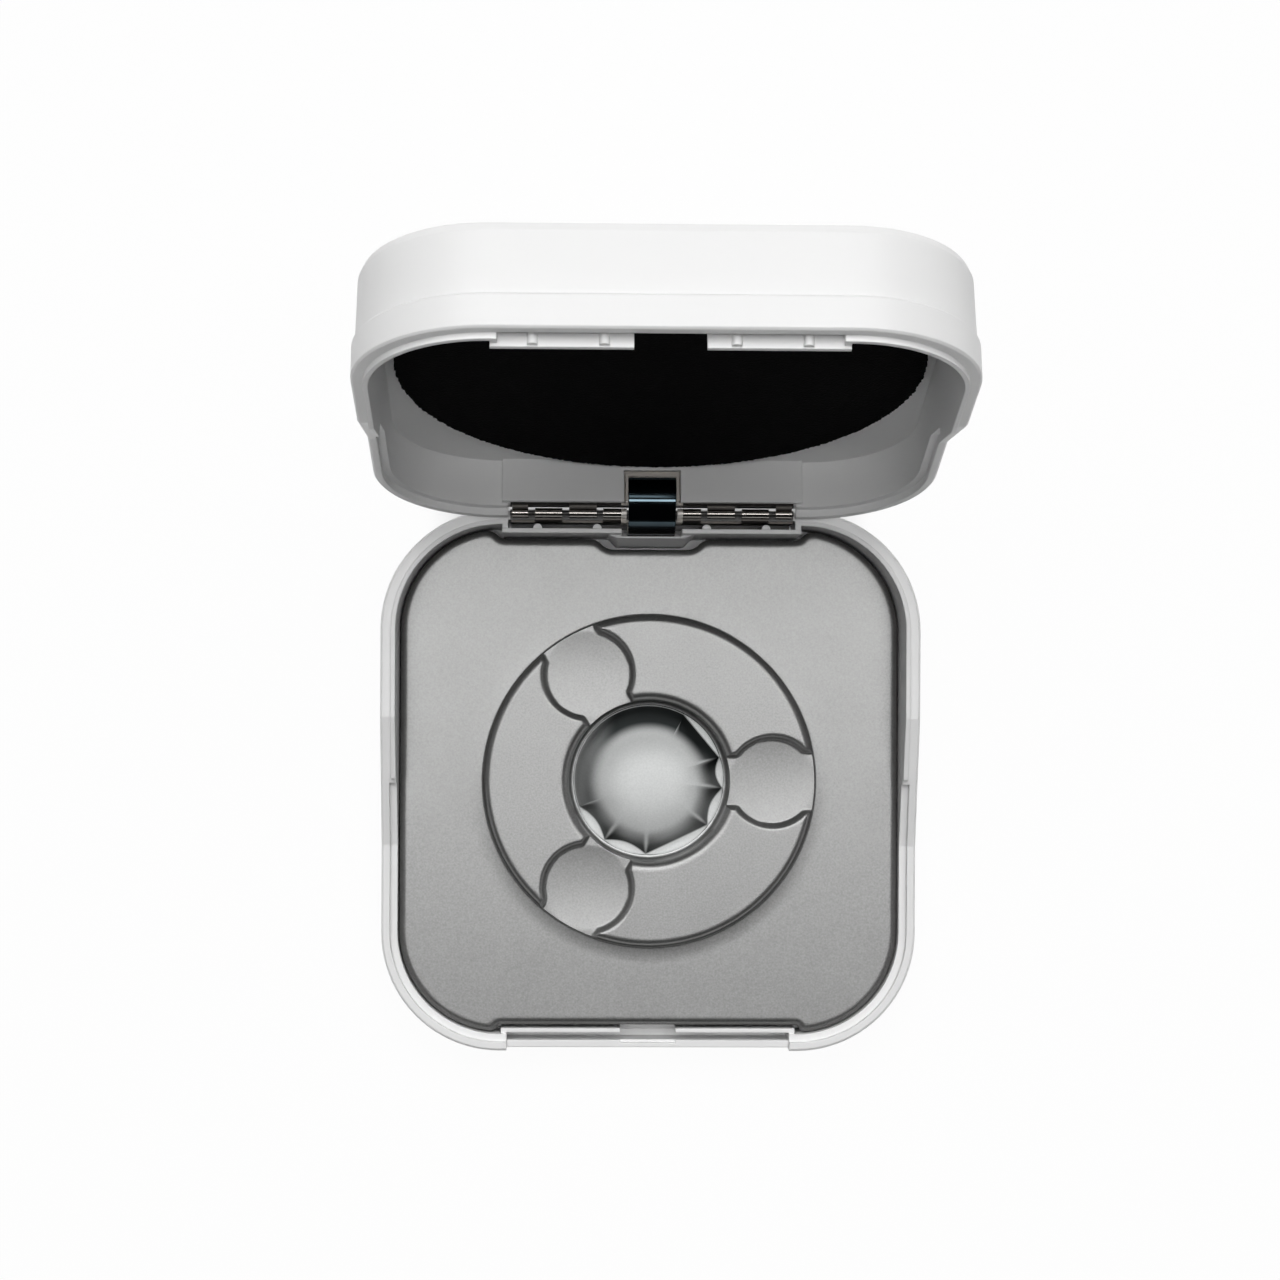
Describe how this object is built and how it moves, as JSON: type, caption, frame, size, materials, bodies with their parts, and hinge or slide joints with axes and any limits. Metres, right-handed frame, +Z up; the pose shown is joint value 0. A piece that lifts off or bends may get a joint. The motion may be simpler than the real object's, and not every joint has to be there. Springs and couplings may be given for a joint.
{
  "type": "hinged presentation case",
  "caption": "Square white moulded case with a stepped rim, standing open on a snap hinge, with a grey formed tray round a ring and hub and a black foam pad in the lid.",
  "frame": {"origin": "middle of the flat underside of the base", "axes": "+Z up, +Y from the front edge to the hinge, +X to the right"},
  "size_m": [0.102, 0.1437, 0.1196],
  "materials": {
    "white_shell": "satin moulded polystyrene",
    "grey_sheet": "silver-grey satin formed sheet",
    "nickel_leaf": "bright nickel plate",
    "steel_pin": "drawn wire",
    "blued_spring": "blued spring steel, polished",
    "film": "clear double-sided adhesive",
    "black_foam": "open-cell foam, die cut"
  },
  "bodies": {
    "base": {"base_shell": "white_shell", "formed_tray": "grey_sheet", "hinge_leaf_base": "nickel_leaf", "hinge_pin": "steel_pin", "snap_spring": "blued_spring"},
    "lid": {"lid_shell": "white_shell", "hinge_leaf_lid": "nickel_leaf", "adhesive_film": "film", "foam_pad": "black_foam"}
  },
  "joints": [
    {"name": "lid_hinge", "type": "hinge", "parent": "base", "child": "lid", "pos_m": [0, 0.0508, 0.02003], "axis": [1, 0, 0], "range_deg": [0, 108], "deforming": ["snap_spring"]}
  ]
}
